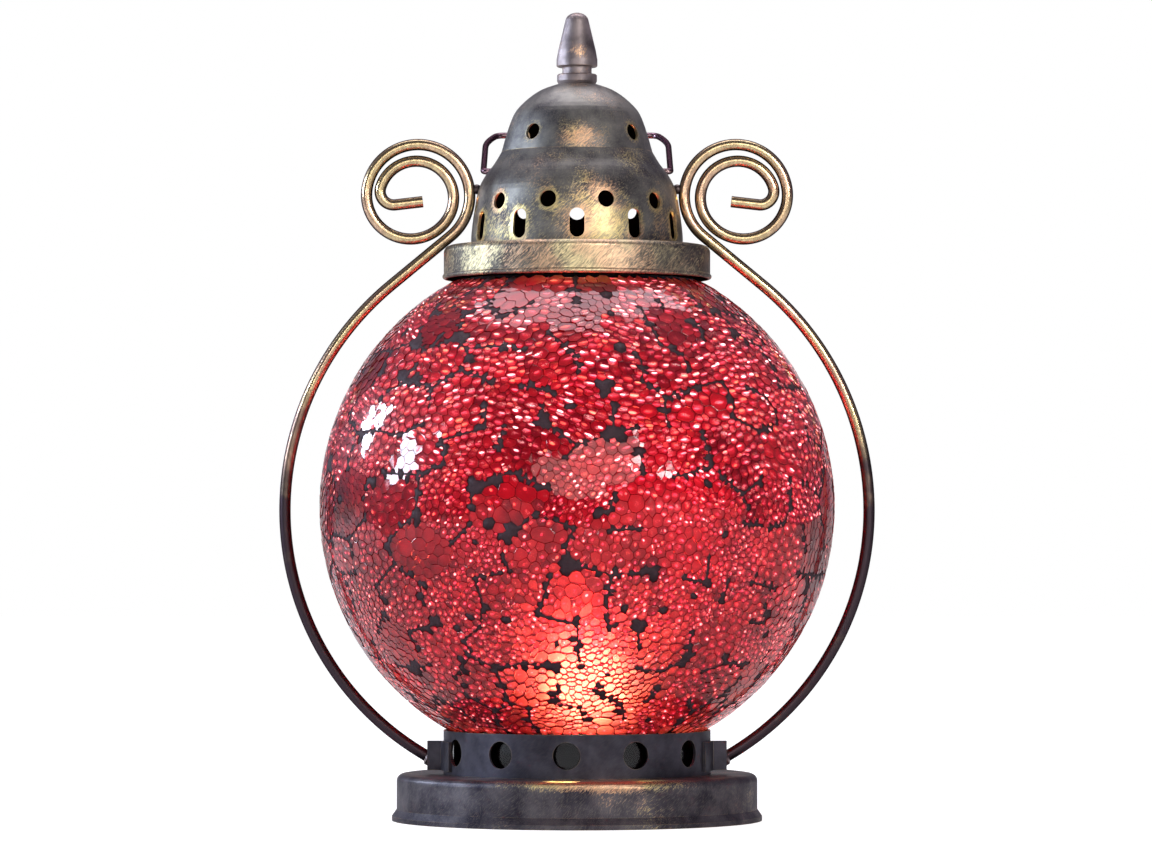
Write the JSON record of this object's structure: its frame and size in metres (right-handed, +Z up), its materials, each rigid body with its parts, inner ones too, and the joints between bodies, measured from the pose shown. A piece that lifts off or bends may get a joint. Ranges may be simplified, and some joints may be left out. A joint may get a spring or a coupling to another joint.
{
  "type": "candle lantern",
  "caption": "Round mosaic glass table lantern on a pressed metal pan, in a cage of bent wire arms with scrolls, with a pierced domed cap, a finial and a swinging bail.",
  "frame": {"origin": "centre of the pan's foot, on the surface that the lantern stands on", "axes": "+Z up along the globe's axis, -Y towards the pictured front, +X to the viewer's right, through a wire arm"},
  "size_m": [0.1786, 0.155, 0.2423],
  "materials": {
    "dark_bronze": "steel sheet with a dark antique bronze finish, rubbed at the edges",
    "rubbed_bronze": "steel sheet with an antique bronze finish rubbed through to gold with slanting scratches",
    "gold_bronze": "steel sheet with a gold antique finish, blotched dark",
    "copper_wire": "steel wire with a copper finish, polished where it stands out and dark lower down",
    "bail_wire": "steel wire with a dark brown finish",
    "solder": "solder toned to match the wire",
    "steel": "plain steel",
    "globe_glass": "clear blown glass",
    "red_mosaic": "crackled red safety glass set in dark grout, glowing near the candle",
    "tealight_tin": "thin pressed aluminium",
    "wax": "white wax, lit from the flame",
    "wick": "charred cotton",
    "flame": "the candle's flame"
  },
  "bodies": {
    "base": {"base_pan": "dark_bronze", "spigot_collar": "dark_bronze", "candle_holder": "dark_bronze", "holder_rivet": "steel"},
    "tealight": {"tealight_cup": "tealight_tin", "tealight_wax": "wax", "wick_tab": "steel", "tealight_wick": "wick"},
    "cage": {"gallery_ring": "dark_bronze", "tab_left": "dark_bronze", "tab_right": "dark_bronze", "arm_left": "copper_wire", "arm_right": "copper_wire", "foot_solder_left": "solder", "foot_solder_right": "solder", "scroll_solder_left": "solder", "scroll_solder_right": "solder", "glass_globe": "globe_glass", "mosaic_coat": "red_mosaic", "cap_band": "gold_bronze", "bell": "rubbed_bronze", "dome": "rubbed_bronze", "finial_collar": "rubbed_bronze", "finial": "rubbed_bronze", "finial_stud": "steel", "finial_nut": "steel"},
    "bail": {"bail": "bail_wire"}
  },
  "joints": [
    {"name": "tealight_lift", "type": "slide", "parent": "base", "child": "tealight", "axis": [0, 0, 1], "range_m": [0, 0.03]},
    {"name": "cage_lift", "type": "slide", "parent": "base", "child": "cage", "axis": [0, 0, 1], "range_m": [0, 0.06]},
    {"name": "bail_swing", "type": "hinge", "parent": "cage", "child": "bail", "pos_m": [0, 0, 0.1945], "axis": [1, 0, 0], "range_deg": [-24, 170]}
  ]
}
